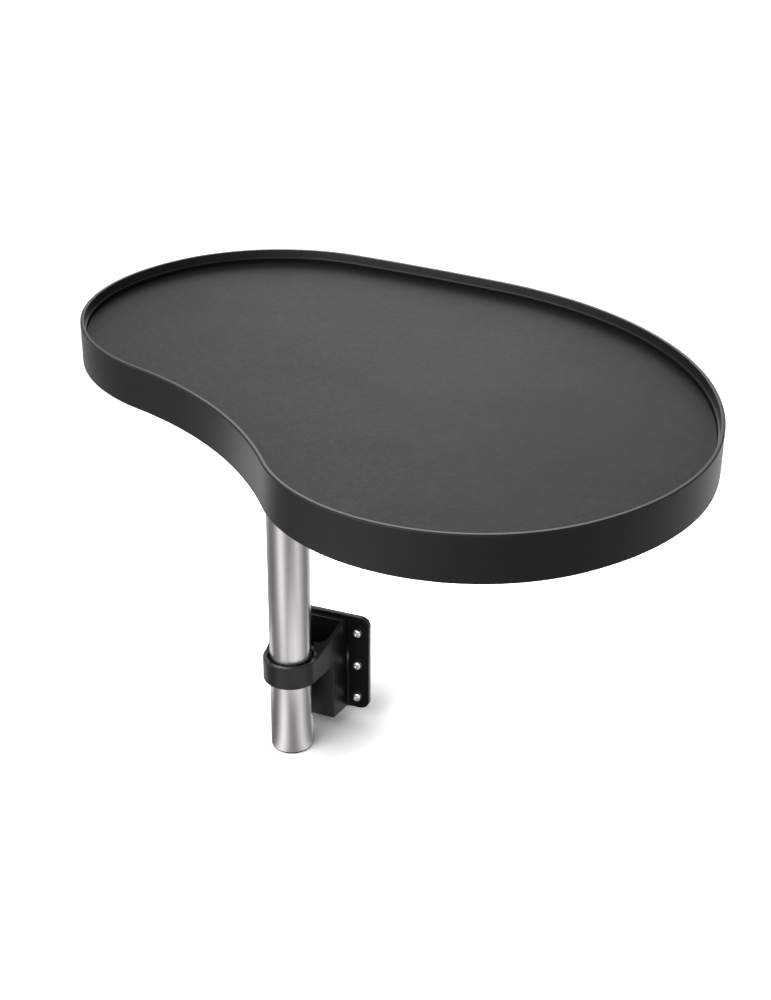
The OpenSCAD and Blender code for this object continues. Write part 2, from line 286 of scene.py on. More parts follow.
class Effects:
    """Node groups that more than one finish uses, built once."""

    def __init__(self) -> None:
        """Builds the groups."""
        self.grain = self._grain()
        self.wear = self._wear()
        self.dust = self._dust()
        self.brushing = self._brushing()

    @staticmethod
    def _group(name: str, outputs: Sequence[str],
               sizes: dict[str, float]) -> tuple[Tree, dict[str, Socket]]:
        """Starts a shader group that reads a vector and numbers, and puts out numbers.

        Args:
            name: the group's name.
            outputs: the outputs' names.
            sizes: default of each number that it reads, by name.

        Returns:
            The group's builder and its input sockets by name.
        """
        return group_tree("ShaderNodeTree", name, {"Vector": Kind.VECTOR, **sizes},
                          dict.fromkeys(outputs, Kind.FLOAT))

    def _grain(self) -> bpy.types.NodeTree:
        """Moulded grain: rounded pebbles with a fine tooth over them, and a soft mottling.

        Returns:
            The group.
        """
        t, ins = self._group("moulded_grain", ["Height", "Mottle"],
                             {"Pebble size": 0.0006, "Tooth": 0.4, "Mottle size": 0.004})
        per_metre = t.math("DIVIDE", 1.0, ins["Pebble size"])
        warp = t.node("ShaderNodeTexNoise", None, Vector=ins["Vector"], Scale=per_metre, Detail=2.0)
        shifted = t.out("ShaderNodeVectorMath", {"operation": "MULTIPLY_ADD"},
                        i0=warp.outputs["Color"], i1=(0.0005,) * 3, i2=ins["Vector"])
        cells = t.node("ShaderNodeTexVoronoi", {"feature": "SMOOTH_F1"}, Vector=shifted,
                       Scale=per_metre, Smoothness=0.6)
        pebble = t.ramp(cells.outputs["Distance"], 0.1, 0.75, 1.0, 0.0)
        fine = t.node("ShaderNodeTexNoise", None, Vector=ins["Vector"],
                      Scale=t.math("MULTIPLY", per_metre, 3.1), Detail=3.0, Roughness=0.6)
        mottle = t.noise(ins["Vector"], ins["Mottle size"], Detail=4.0, Roughness=0.65)
        t.node("NodeGroupOutput", None, Height=t.plus(pebble, fine.outputs["Fac"], ins["Tooth"]),
               Mottle=t.ramp(mottle, 0.32, 0.68))
        return t.tree

    def _wear(self) -> bpy.types.NodeTree:
        """Rubbed edges: the piece's own edge attribute, broken up by noise.

        Returns:
            The group.
        """
        t, ins = self._group("rubbed_edges", ["Mask"],
                             {"Edge": 0.0, "Patch size": 0.02, "Amount": 0.5})
        big = t.noise(ins["Vector"], ins["Patch size"], Detail=5.0, Roughness=0.7)
        worn = t.math("MULTIPLY", ins["Edge"], t.ramp(big, 0.35, 0.65))
        t.node("NodeGroupOutput", None, Mask=t.math("MULTIPLY", worn, ins["Amount"], clamp=True))
        return t.tree

    def _dust(self) -> bpy.types.NodeTree:
        """Faint handling marks and dust, wide soft clouds with small specks.

        Returns:
            The group.
        """
        t, ins = self._group("handling_marks", ["Clouds", "Specks"],
                             {"Cloud size": 0.12, "Speck size": 0.004})
        cloud = t.noise(ins["Vector"], ins["Cloud size"], Detail=4.0, Distortion=0.4)
        specks = t.node("ShaderNodeTexVoronoi", None, Vector=ins["Vector"],
                        Scale=t.math("DIVIDE", 1.0, ins["Speck size"]))
        t.node("NodeGroupOutput", None, Clouds=t.ramp(cloud, 0.35, 0.7),
               Specks=t.ramp(specks.outputs["Distance"], 0.05, 0.14, 1.0, 0.0))
        return t.tree

    def _brushing(self) -> bpy.types.NodeTree:
        """Brushed metal: fine lines that run along the first direction of a pattern.

        Returns:
            The group.
        """
        t, ins = self._group("brushed_lines", ["Lines", "Bands"],
                             {"Line length": 0.03, "Line pitch": 0.0004})
        scale = t.xyz(t.math("DIVIDE", 1.0, ins["Line length"]),
                      t.math("DIVIDE", 1.0, ins["Line pitch"]), 1.0)
        times = {"operation": "MULTIPLY"}
        stretched = t.out("ShaderNodeVectorMath", times, i0=ins["Vector"], i1=scale)
        slower = t.out("ShaderNodeVectorMath", times, i0=stretched, i1=(0.5, 0.07, 1.0))
        t.node("NodeGroupOutput", None, Lines=t.noise(stretched, 1.0, Detail=4.0, Roughness=0.7),
               Bands=t.noise(slower, 1.0, Detail=3.0))
        return t.tree


# ---------------------------------------------------------------- finishes


@dataclass(frozen=True)
class Finish:
    """A finish, by its name, its base colour in linear values and its roughness."""

    name: str
    base: Triple
    roughness: float

    def material(self, effects: Effects) -> bpy.types.Material:
        """Builds the material.

        Args:
            effects: the shared node groups.

        Returns:
            The material.
        """
        made = bpy.data.materials.new(self.name)
        t = bare_tree(made)
        shader = t.out("ShaderNodeBsdfPrincipled", None, **self.shading(t, effects))
        t.node("ShaderNodeOutputMaterial", None, Surface=shader)
        return made

    def shading(self, t: Tree, effects: Effects) -> dict[str, object]:
        """What feeds the shader's inputs, by name, which each kind of finish says.

        Args:
            t: builder of the material's tree.
            effects: the shared node groups.

        Returns:
            The values and sockets.
        """
        raise NotImplementedError


@dataclass(frozen=True)
class Moulding(Finish):
    """A moulded plastic with grain, rubbed edges and handling marks."""

    rubbed: Triple
    pebble_size: float = 0.0006
    grain_depth: float = 0.00003
    grain_strength: float = 0.5
    mottle: float = 0.06
    edge_amount: float = 0.5
    edge_roughness: float = -0.08
    cloud_roughness: float = 0.06
    specular: float = 0.5
    floor_grain: float = 0.0
    floor_mottle: float = 0.045
    # Shine marks on the points: raised shine is polish with a painted highlight, lowered shine is
    # painted shade
    reads_polish_and_painted_light: bool = False
    polish_roughness: float = -0.08

    def shading(self, t: Tree, effects: Effects) -> dict[str, object]:
        """Grain in the bump, mottled colour with paler edges, and a roughness that varies.

        Args:
            t: builder of the material's tree.
            effects: the shared node groups.

        Returns:
            The values and sockets.
        """
        place = t.object_place()
        grain = t.node("ShaderNodeGroup", {"node_tree": effects.grain}, Vector=place,
                       Pebble_size=self.pebble_size).outputs
        wear = t.out("ShaderNodeGroup", {"node_tree": effects.wear}, Vector=place,
                     Edge=t.attribute("edge"), Amount=self.edge_amount)
        clouds = t.out("ShaderNodeGroup", {"node_tree": effects.dust}, Vector=place)
        shade = t.mix_colour(grain["Mottle"], tint(self.base, 1.0 - self.mottle),
                             tint(self.base, 1.0 + self.mottle))
        shade = t.mix_colour(wear, shade, tint(self.rubbed))
        rough = t.plus(self.roughness, clouds, self.cloud_roughness)
        rough = t.plus(rough, wear, self.edge_roughness)
        strength: object = self.grain_strength
        if self.floor_grain > 0.0:
            floor = t.attribute("floor")
            patchy = t.math("MULTIPLY", t.math("SUBTRACT", grain["Mottle"], 0.5), self.floor_mottle)
            rough = t.plus(t.plus(rough, floor, self.floor_grain), floor, patchy)
            strength = t.plus(self.grain_strength, floor, 1.0 - self.grain_strength)
        bump = t.out("ShaderNodeBump", None, Strength=strength, Distance=self.grain_depth,
                     Height=grain["Height"])
        shine: object = self.specular
        # The marks raise the shine and lower the roughness where they add polish and a painted
        # highlight, and cut the shine to paint shade in hollows and on the bracket's plate
        if self.reads_polish_and_painted_light:
            polish = t.attribute("polish")
            shine = t.math("MULTIPLY", t.math("ADD", polish, 1.0), self.specular)
            rough = t.plus(rough, t.math("MAXIMUM", polish, 0.0), self.polish_roughness)
        return {"Base_Color": shade, "Roughness": rough, "Specular_IOR_Level": shine,
                "Normal": bump}


@dataclass(frozen=True)
class BrushedSteel(Finish):
    """Stainless tube brushed round its length, read from the piece's own UV map in metres."""

    anisotropic: float
    rotation: float = 0.25
    line_length: float = 0.03
    line_pitch: float = 0.0004
    streaks: float = 0.03
    band_roughness: float = 0.05
    cloud_size: float = 0.05
    cloud_roughness: float = 0.02

    def shading(self, t: Tree, effects: Effects) -> dict[str, object]:
        """Fine streaks in the colour, slower bands in the roughness, and gloss drawn out across.

        Args:
            t: builder of the material's tree.
            effects: the shared node groups.

        Returns:
            The values and sockets.
        """
        around = t.out("ShaderNodeUVMap", {"uv_map": "around"})
        brushed = t.node("ShaderNodeGroup", {"node_tree": effects.brushing}, Vector=around,
                         Line_length=self.line_length, Line_pitch=self.line_pitch).outputs
        clouds = t.out("ShaderNodeGroup", {"node_tree": effects.dust}, Vector=t.object_place(),
                       Cloud_size=self.cloud_size)
        shade = t.mix_colour(t.ramp(brushed["Lines"], 0.3, 0.7),
                             tint(self.base, 1.0 - self.streaks),
                             tint(self.base, 1.0 + self.streaks))
        rough = t.plus(self.roughness - self.band_roughness / 2, brushed["Bands"],
                       self.band_roughness)
        tangent = t.out("ShaderNodeTangent", {"direction_type": "UV_MAP", "uv_map": "around"})
        return {"Base_Color": shade, "Metallic": 1.0,
                "Roughness": t.plus(rough, clouds, self.cloud_roughness),
                "Anisotropic": self.anisotropic, "Anisotropic_Rotation": self.rotation,
                "Tangent": tangent}


@dataclass(frozen=True)
class BrightSteel(Finish):
    """Plated screw steel with faint scuffs."""

    scuff_size: float = 0.004
    scuff_roughness: float = 0.12
    speck_size: float = 0.0008
    speck_shade: float = 0.8

    def shading(self, t: Tree, effects: Effects) -> dict[str, object]:
        """Scuffs in the roughness and darker specks in the colour.

        Args:
            t: builder of the material's tree.
            effects: the shared node groups.

        Returns:
            The values and sockets.
        """
        marks = t.node("ShaderNodeGroup", {"node_tree": effects.dust}, Vector=t.object_place(),
                       Cloud_size=self.scuff_size, Speck_size=self.speck_size).outputs
        shade = t.mix_colour(marks["Specks"], tint(self.base), tint(self.base, self.speck_shade))
        return {"Base_Color": shade, "Metallic": 1.0,
                "Roughness": t.plus(self.roughness, marks["Clouds"], self.scuff_roughness)}


TRAY_FINISH = Moulding(
    "tray_plastic", (0.007, 0.007, 0.0072), 0.33, (0.016, 0.016, 0.0163), pebble_size=0.0011,
    grain_depth=0.00006, grain_strength=0.06, mottle=0.10, cloud_roughness=0.02,
    edge_amount=0.35, floor_grain=0.16, reads_polish_and_painted_light=True)
SOCKET_FINISH = Moulding("socket_plastic", (0.014, 0.014, 0.0145), 0.45, (0.05, 0.05, 0.05))
BRACKET_FINISH = Moulding(
    "bracket_plastic", (0.004, 0.004, 0.0042), 0.36, (0.03, 0.03, 0.031), pebble_size=0.0005,
    grain_strength=0.2, cloud_roughness=0.03, reads_polish_and_painted_light=True)
BUSH_FINISH = Moulding("bush_nylon", (0.010, 0.010, 0.010), 0.38, (0.03, 0.03, 0.03),
                       grain_strength=0.15)
CAP_FINISH = Moulding("cap_nylon", (0.012, 0.012, 0.012), 0.40, (0.04, 0.04, 0.04),
                      grain_strength=0.2)
PLUG_FINISH = Moulding("plug_nylon", (0.62, 0.61, 0.57), 0.38, (0.75, 0.74, 0.70),
                       grain_strength=0.1, mottle=0.03)
POLE_FINISH = BrushedSteel("tube_steel", (0.66, 0.645, 0.625), 0.24, 0.5)
WALL_SCREW_FINISH = BrightSteel("bright_screw_steel", (0.80, 0.79, 0.78), 0.16)
HIDDEN_SCREW_FINISH = BrightSteel("zinc_screw_steel", (0.52, 0.52, 0.53), 0.3)


# ---------------------------------------------------------------- mesh helpers


def object_from(name: str, mesh: bpy.types.Mesh) -> bpy.types.Object:
    """Links a mesh to the scene as an object at the origin.

    Args:
        name: name of the new object.
        mesh: the mesh.

    Returns:
        The object.
    """
    made = bpy.data.objects.new(name, mesh)
    bpy.context.scene.collection.objects.link(made)
    return made


def write_marks(mesh: bpy.types.Mesh, name: str, values: Sequence[float]) -> None:
    """Writes a number on each point, which materials and trees read by its name."""
    mesh.attributes.new(name, "FLOAT", "POINT").data.foreach_set("value", values)


def mark_edges(mesh: bpy.types.Mesh) -> None:
    """Marks the edges: 1 on outward rounded corners, 0 on hollow corners and on larger faces.

    Args:
        mesh: the mesh, which gets the marks as its edge attribute.
    """
    bm = bmesh.new()
    bm.from_mesh(mesh)
    low, high = EDGE_TURN
    values = []
    for vert in bm.verts:
        turns = [math.degrees(e.calc_face_angle_signed(0.0)) for e in vert.link_edges]
        widths = [f.calc_area() / max(e.calc_length() for e in f.edges) for f in vert.link_faces]
        share = min(1.0, max(0.0, (max(turns, default=0.0) - low) / (high - low)))
        values.append(0.0 if max(widths, default=1.0) > EDGE_FACE * MM else share)
    bm.free()
    write_marks(mesh, "edge", values)


def apply_modifiers(piece: bpy.types.Object) -> None:
    """Turns a piece with its modifiers into a plain mesh.

    Args:
        piece: the piece, which keeps its name and material.
    """
    bpy.context.view_layer.update()
    evaluated = piece.evaluated_get(bpy.context.evaluated_depsgraph_get())
    mesh = bpy.data.meshes.new_from_object(evaluated)
    mesh.name = piece.name
    piece.modifiers.clear()
    piece.data = mesh


def smoothed(piece: bpy.types.Object, sharp: float | None = None) -> None:
    """Marks a piece's edges and shades it smooth, with normals that follow its larger faces.

    Args:
        piece: the piece, whose modifiers are all applied.
        sharp: angle in degrees over which an edge stays sharp, or None to round all of them.
    """
    mesh = piece.data
    mark_edges(mesh)
    mesh.polygons.foreach_set("use_smooth", [True] * len(mesh.polygons))
    if sharp is not None:
        mesh.set_sharp_from_angle(angle=math.radians(sharp))
    even = piece.modifiers.new("even_normals", "WEIGHTED_NORMAL")
    even.keep_sharp = sharp is not None
    apply_modifiers(piece)


def tidy_shell(mesh: bpy.types.Mesh, merge: float = CLOSE, fill: bool = False) -> None:
    """Merges doubles and turns the faces outwards.

    Args:
        mesh: the mesh of one or more shells.
        merge: distance in metres under which points are one.
        fill: closes each open border with one face.
    """
    bm = bmesh.new()
    bm.from_mesh(mesh)
    bmesh.ops.remove_doubles(bm, verts=bm.verts, dist=merge)
    if fill:
        bmesh.ops.holes_fill(bm, edges=[e for e in bm.edges if e.is_boundary], sides=0)
    bmesh.ops.recalc_face_normals(bm, faces=bm.faces)
    bm.to_mesh(mesh)
    bm.free()


def about_pole(radius: float, angle: float) -> Point:
    """A place round the pole, from a radius in millimetres and a direction in radians."""
    return (radius * math.cos(angle), POLE_Y + radius * math.sin(angle))


def socket_screw_angles() -> list[float]:
    """Directions of the socket's screws from the pole, in radians."""
    return [math.radians(FIRST_SCREW + k * 360.0 / SOCKET_SCREWS + TRAY_TURN)
            for k in range(SOCKET_SCREWS)]


def rounded(points: Sequence[Point], radii: Sequence[float], steps: int) -> list[Point]:
    """Rounds the corners of a closed outline.

    Args:
        points: the corners.
        radii: rounding radius at each corner, 0 for a sharp one.
        steps: segments in each rounding.

    Returns:
        The rounded outline.
    """
    out: list[Point] = []
    for k, (corner, radius) in enumerate(zip(points, radii)):
        here = Vector(corner)
        back = Vector(points[k - 1]) - here
        on = Vector(points[(k + 1) % len(points)]) - here
        turn = back.angle(on)
        if radius <= 0.0 or abs(turn - math.pi) < STRAIGHT:
            out.append(corner)
            continue
        longest = min(back.length, on.length) * SIDE_SHARE
        reach = min(radius / math.tan(turn / 2), longest)
        away = reach * math.tan(turn / 2) / math.sin(turn / 2)
        centre = here + (back.normalized() + on.normalized()).normalized() * away
        first = here + back.normalized() * reach - centre
        last = here + on.normalized() * reach - centre
        for step in range(steps + 1):
            way = first.slerp(last, step / steps)
            out.append((centre.x + way.x, centre.y + way.y))
    return out


def turned(name: str, outline: Sequence[Point], segments: int) -> bpy.types.Object:
    """Turns a closed outline about the local Z axis.

    Args:
        name: name of the new object.
        outline: closed outline as radius and height in millimetres; its radius is 0 on the axis.
        segments: segments round the axis.

    Returns:
        The object, in metres, with a UV map of metres round and along.
    """
    bm = bmesh.new()
    step = 2 * math.pi / segments
    rings: list[list[bmesh.types.BMVert]] = []
    for radius, height in outline:
        if radius < CLOSE:
            rings.append([bm.verts.new((0.0, 0.0, height * MM))] * segments)
            continue
        rings.append([bm.verts.new((radius * MM * math.cos(k * step),
                                    radius * MM * math.sin(k * step), height * MM))
                      for k in range(segments)])
    uv = bm.loops.layers.uv.new("around")
    widest = max(radius for radius, _ in outline) * MM
    run = 0.0
    for k, ring in enumerate(rings):
        after = (k + 1) % len(rings)
        end = run + math.dist(outline[k], outline[after]) * MM
        for s in range(segments):
            nxt = (s + 1) % segments
            u0, u1 = widest * s * step, widest * (s + 1) * step
            corners: list[tuple[bmesh.types.BMVert, Point]] = []
            for vert, mark in ((ring[s], (u0, run)), (ring[nxt], (u1, run)),
                               (rings[after][nxt], (u1, end)), (rings[after][s], (u0, end))):
                if all(vert is not other for other, _ in corners):
                    corners.append((vert, mark))
            if len(corners) < 3:
                continue
            face = bm.faces.new([vert for vert, _ in corners])
            for loop, (_, mark) in zip(face.loops, corners):
                loop[uv].uv = mark
        run = end
    bmesh.ops.recalc_face_normals(bm, faces=bm.faces)
    mesh = bpy.data.meshes.new(name)
    bm.to_mesh(mesh)
    bm.free()
    return object_from(name, mesh)


def hand_over(piece: bpy.types.Object, material: bpy.types.Material, body: Body,
              nodes: Iterable[str]) -> None:
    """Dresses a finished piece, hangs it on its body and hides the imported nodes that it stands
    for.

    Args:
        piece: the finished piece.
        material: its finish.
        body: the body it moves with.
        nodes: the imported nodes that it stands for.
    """
    piece.data.materials.clear()
    piece.data.materials.append(material)
    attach(piece, body.value)
    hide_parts(*nodes)
    count = sum(len(p.vertices) - 2 for p in piece.data.polygons)
    LOG.info("%s: %d triangles, rides on %s", piece.name, count, body.value)


@dataclass(frozen=True)
class PackedPart:
    """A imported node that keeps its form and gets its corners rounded. Sizes in millimetres.

    An edge that is shorter than the shortest stays as it is.
    """

    node: str
    name: str
    body: Body
    slot: Slot
    width: float
    shortest: float = 0.0

    def build(self, material: bpy.types.Material) -> bpy.types.Object:
        """Rounds a copy of the node and hands it over.

        Args:
            material: its finish.

        Returns:
            The finished piece.
        """
        bm = bmesh.new()
        bm.from_mesh(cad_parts[self.node].data)
        bmesh.ops.remove_doubles(bm, verts=bm.verts, dist=NODE_MERGE * MM)
        bmesh.ops.dissolve_limit(bm, angle_limit=math.radians(NODE_FLAT), verts=bm.verts,
                                 edges=bm.edges)
        corners = [e for e in bm.edges
                   if e.is_manifold and e.calc_face_angle(0.0) > math.radians(NODE_CORNER)
                   and e.calc_length() > self.shortest * MM]
        bmesh.ops.bevel(bm, geom=corners, offset=self.width * MM, segments=2, profile=0.5,
                        affect="EDGES", clamp_overlap=False)
        bmesh.ops.remove_doubles(bm, verts=bm.verts, dist=ROUND_MERGE * MM)
        mesh = bpy.data.meshes.new(self.name)
        bm.to_mesh(mesh)
        bm.free()
        for layer in list(mesh.uv_layers):
            mesh.uv_layers.remove(layer)
        piece = object_from(self.name, mesh)
        smoothed(piece)
        hand_over(piece, material, self.body, [self.node])
        return piece


def geometry_tree(name: str, sizes: dict[str, object]) -> tuple[Tree, dict[str, Socket]]:
    """Starts a Geometry Nodes tree with a geometry, its sizes and a material as inputs.

    Args:
        name: the tree's name.
        sizes: by name, the default of each size in metres, or the kind of any other input.

    Returns:
        The tree's builder and its input sockets by name.
    """
    inputs = {"Geometry": Kind.GEOMETRY, **sizes, "Material": Kind.MATERIAL}
    return group_tree("GeometryNodeTree", name, inputs, {"Geometry": Kind.GEOMETRY})


def close_tree(t: Tree, geometry: Socket, material: Socket) -> bpy.types.NodeTree:
    """Ends a Geometry Nodes tree in Realize Instances and Set Material.

    Args:
        t: the tree's builder.
        geometry: the geometry that leaves the tree.
        material: the input for its material.

    Returns:
        The tree.
    """
    real = t.out("GeometryNodeRealizeInstances", None, Geometry=geometry)
    dressed = t.out("GeometryNodeSetMaterial", None, Geometry=real, Material=material)
    t.node("NodeGroupOutput", None, i0=dressed)
    return t.tree


def run_geometry(piece: bpy.types.Object, group: bpy.types.NodeTree, **values: object) -> None:
    """Runs a Geometry Nodes tree on a piece and keeps the result as a plain mesh.

    Args:
        piece: the piece, whose mesh feeds the tree.
        group: the tree.
        values: inputs that don't keep their defaults, by name.
    """
    modifier = piece.modifiers.new(group.name, "NODES")
    modifier.node_group = group
    for item in group.interface.items_tree:
        if item.in_out == "INPUT" and item.name in values:
            modifier[item.identifier] = values[item.name]
    apply_modifiers(piece)


# ---------------------------------------------------------------- tray


@dataclass(frozen=True)
class Outline:
    """The tray's outline, in millimetres.

    Outward arcs, each tangent to the next, are closed by the hollow waist.
    """

    radii: tuple[float, ...] = (146.0, 211.0, 310.0, 1790.0, 143.0, 184.0)
    ends: tuple[float, ...] = (0.0, 45.0, 120.1, 124.95, 192.0)
    first_centre: Point = (302.5, 7.5)
    waist: float = 359.0

    def arcs(self) -> list[tuple[Vector, float, float, float]]:
        """The arcs in order round the outline.

        Returns:
            Centre, signed radius, first and last direction in degrees, for each arc. The waist's
            radius is negative, because it is seen from its own centre in front of the tray.
        """
        centres = [Vector(self.first_centre)]
        for k, end in enumerate(self.ends):
            way = Vector((math.cos(math.radians(end)), math.sin(math.radians(end))))
            centres.append(centres[-1] + (self.radii[k] - self.radii[k + 1]) * way)
        a, b = centres[-1], centres[0]
        ra, rb = self.radii[-1] + self.waist, self.radii[0] + self.waist
        gap = (b - a).length
        along = (b - a) / gap
        reach = (ra * ra - rb * rb + gap * gap) / (2 * gap)
        side = math.sqrt(ra * ra - reach * reach)
        hollow = a + reach * along + side * Vector((along.y, -along.x))
        start = math.degrees(math.atan2(hollow.y - b.y, hollow.x - b.x))
        finish = math.degrees(math.atan2(hollow.y - a.y, hollow.x - a.x)) + 360.0
        out = list(zip(centres, self.radii, (start, *self.ends), (*self.ends, finish)))
        out.append((hollow, -self.waist, finish, start + 360.0))
        return out

    def ring(self, inset: float = 0.0, spacing: float = 3.0) -> list[Point]:
        """Points round the outline in the row frame, counter-clockwise.

        Args:
            inset: distance inside the outline.
            spacing: greatest distance between points.

        Returns:
            The points, about the same number for each inset.
        """
        turn = Matrix.Rotation(math.radians(TRAY_TURN), 2)
        out: list[Point] = []
        for centre, radius, first, last in self.arcs():
            count = math.ceil(abs(math.radians(last - first) * radius) / spacing)
            for k in range(count):
                a = math.radians(first + (last - first) * k / count)
                spot = turn @ (centre + (radius - inset) * Vector((math.cos(a), math.sin(a))))
                out.append((spot.x, spot.y + POLE_Y))
        return out


@dataclass
class TrayShell:
    """The kidney-shaped moulding with its rim, ledge, floor, ribs and screw bosses.

    Sizes are in millimetres. The shines are shares that are added to the finish's own shine; raised
    shine is polish with a painted highlight, and lowered shine is painted shade.
    """

    outline: Outline = Outline()
    rim_thick: float = 3.0
    ledge_deep: float = 7.5
    ledge_wide: float = 1.5
    floor_lip: float = 6.0
    rim_round: float = 0.9
    lip_round: float = 0.35
    inner_round: float = 0.35
    root_round: float = 1.1
    rib_start: float = 55.2
    rib_thick: float = 2.2
    rib_tall: float = 13.0
    rib_pitch: float = 135.0
    rib_fan: int = 8
    rib_sink: float = 0.5
    rib_edge: float = 0.4
    curved_ribs: int = 2
    boss_radius: float = 6.0
    boss_sides: int = 32
    collar_in: float = 21.6
    border_step: float = 4.0
    reach_step: float = 0.5
    bevel_turn: float = 40.0
    # Shares of shine: more on the rim's top, the ledge and the rim's inner rounding, a real polish
    # with a painted highlight; less on the outer rounding and in the hollow under the ledge,
    # painted shade
    top_polish_and_painted_highlight: float = 0.9
    rim_inner_polish_and_painted_highlight: float = 0.4
    rim_outer_painted_shade: float = -0.6
    hollow_painted_shade: float = -0.95
    rim_start: float = 0.05

    def build(self, effects: Effects) -> None:
        """Builds the whole moulding.

        Args:
            effects: the shared node groups.
        """
        material = TRAY_FINISH.material(effects)
        piece = self._shell(material)
        parts = [piece, self._under(material)]
        with bpy.context.temp_override(active_object=piece, object=piece, selected_objects=parts,
                                       selected_editable_objects=parts):
            bpy.ops.object.join()
        piece.name = piece.data.name = "tray_moulded"
        hand_over(piece, material, Body.TRAY, ["tray"])

    def _section_tree(self) -> bpy.types.NodeTree:
        """The tree that sweeps the wall's section round the outline.

        Returns:
            The tree, whose geometry is the outline as a loop of edges.
        """
        sizes = {"Rim thickness": self.rim_thick, "Ledge depth": self.ledge_deep,
                 "Ledge width": self.ledge_wide, "Floor lip": self.floor_lip,
                 "Rim height": RIM_Z, "Skirt height": SKIRT_Z, "Floor height": FLOOR_Z,
                 "Underside height": UNDER_Z, "Rim round": self.rim_round,
                 "Lip round": self.lip_round, "Inner round": self.inner_round,
                 "Root round": self.root_round}
        t, ins = geometry_tree("tray_wall_sweep", {n: size * MM for n, size in sizes.items()})
        top, skirt = ins["Rim height"], ins["Skirt height"]
        floor, under = ins["Floor height"], ins["Underside height"]
        rim, root, small = ins["Rim round"], ins["Root round"], ins["Inner round"]
        wall = ins["Rim thickness"]
        ledge = t.math("SUBTRACT", top, ins["Ledge depth"])
        inner = t.math("ADD", wall, ins["Ledge width"])
        lip = t.math("ADD", inner, ins["Floor lip"])
        corners: list[tuple[object, Socket, object]] = [
            (lip, floor, 0.0), (inner, floor, root), (inner, ledge, small), (wall, ledge, small),
            (wall, top, ins["Lip round"]), (0.0, top, rim), (0.0, skirt, rim), (wall, skirt, rim),
            (wall, under, root), (lip, under, 0.0)]
        index = t.out("GeometryNodeInputIndex")
        place = t.node("GeometryNodeIndexSwitch", {"data_type": "VECTOR"}, Index=index)
        curve = t.node("GeometryNodeIndexSwitch", {"data_type": "FLOAT"}, Index=index)
        for switch in (place, curve):
            while len(switch.index_switch_items) < len(corners):
                switch.index_switch_items.new()
        for k, (inset, height, radius) in enumerate(corners, 1):
            spot = t.xyz(t.math("MULTIPLY", inset, -1.0), t.math("MULTIPLY", height, -1.0))
            t.feed(place.inputs[k], spot)
            t.feed(curve.inputs[k], radius)
        line = t.out("GeometryNodeMeshLine", None, Count=len(corners))
        moved = t.out("GeometryNodeSetPosition", None, Geometry=line, Position=place.outputs[0])
        section = t.out("GeometryNodeMeshToCurve", None, i0=moved)
        soft = t.out("GeometryNodeFilletCurve", {"mode": "POLY"}, Curve=section, Count=3,
                     Radius=curve.outputs[0], Limit_Radius=True)
        path = t.out("GeometryNodeMeshToCurve", None, i0=ins["Geometry"])
        level = t.out("GeometryNodeSetCurveNormal", {"mode": "Z_UP"}, Curve=path)
        swept = t.out("GeometryNodeCurveToMesh", None, Curve=level, Profile_Curve=soft)
        return close_tree(t, swept, ins["Material"])

    def _shell(self, material: bpy.types.Material) -> bpy.types.Object:
        """The wall swept round the outline, closed by the floor's two faces.

        Args:
            material: the tray's finish.

        Returns:
            The shell, with its floor and polish marked.
        """
        spots = self.outline.ring()
        loop = bpy.data.meshes.new("tray_shell")
        loop.from_pydata([(x * MM, y * MM, 0.0) for x, y in spots],
                         [(k, (k + 1) % len(spots)) for k in range(len(spots))], [])
        piece = object_from("tray_shell", loop)
        run_geometry(piece, self._section_tree(), Material=material)
        tidy_shell(piece.data, fill=True)
        smoothed(piece)
        points = [v.co / MM for v in piece.data.vertices]
        middle = self.outline.ring(self.rim_thick / 2)
        write_marks(piece.data, "floor",
                    [1.0 if UNDER_Z + 0.01 < p.z < FLOOR_Z + 0.01 else 0.0 for p in points])
        write_marks(piece.data, "polish", [self._polish_and_painted_light(p, middle) for p in points])
        return piece

    def _polish_and_painted_light(self, spot: Vector, middle: Sequence[Point]) -> float:
        """How much the shine of a point of the shell is raised, as polish with a painted highlight,
        and lowered, as painted shade.

        Args:
            spot: the point, in millimetres.
            middle: the line along the middle of the rim's top.

        Returns:
            More on the rim's top and the ledge, polish with a painted highlight, less on the rim's
            outer rounding and least in the hollow corner under the ledge, both painted shade.
        """
        ledge = RIM_Z - self.ledge_deep
        if min(abs(spot.z - RIM_Z), abs(spot.z - ledge)) < ON_FACE:
            return self.top_polish_and_painted_highlight
        inside = self._within((spot.x, spot.y), middle)
        if RIM_Z - self.rim_round + self.rim_start < spot.z < RIM_Z:
            return self.rim_inner_polish_and_painted_highlight if inside else self.rim_outer_painted_shade
        if FLOOR_Z + 0.01 < spot.z < ledge - 0.5 * self.inner_round and inside:
            return self.hollow_painted_shade
        return 0.0

    @staticmethod
    def _within(spot: Point, border: Sequence[Point]) -> bool:
        """Counts the border's crossings on one side of a point.

        Args:
            spot: the point.
            border: the corners of a closed border.

        Returns:
            Whether the point lies inside.
        """
        inside = False
        for (x0, y0), (x1, y1) in zip(border, [*border[1:], border[0]]):
            if (y0 > spot[1]) != (y1 > spot[1]):
                if spot[0] < x0 + (spot[1] - y0) / (y1 - y0) * (x1 - x0):
                    inside = not inside
        return inside

    def _border(self) -> list[Point]:
        """The line a little inside the wall's thickness, where the ribs end."""
        return self.outline.ring(self.rim_thick - self.rib_sink, self.border_step)

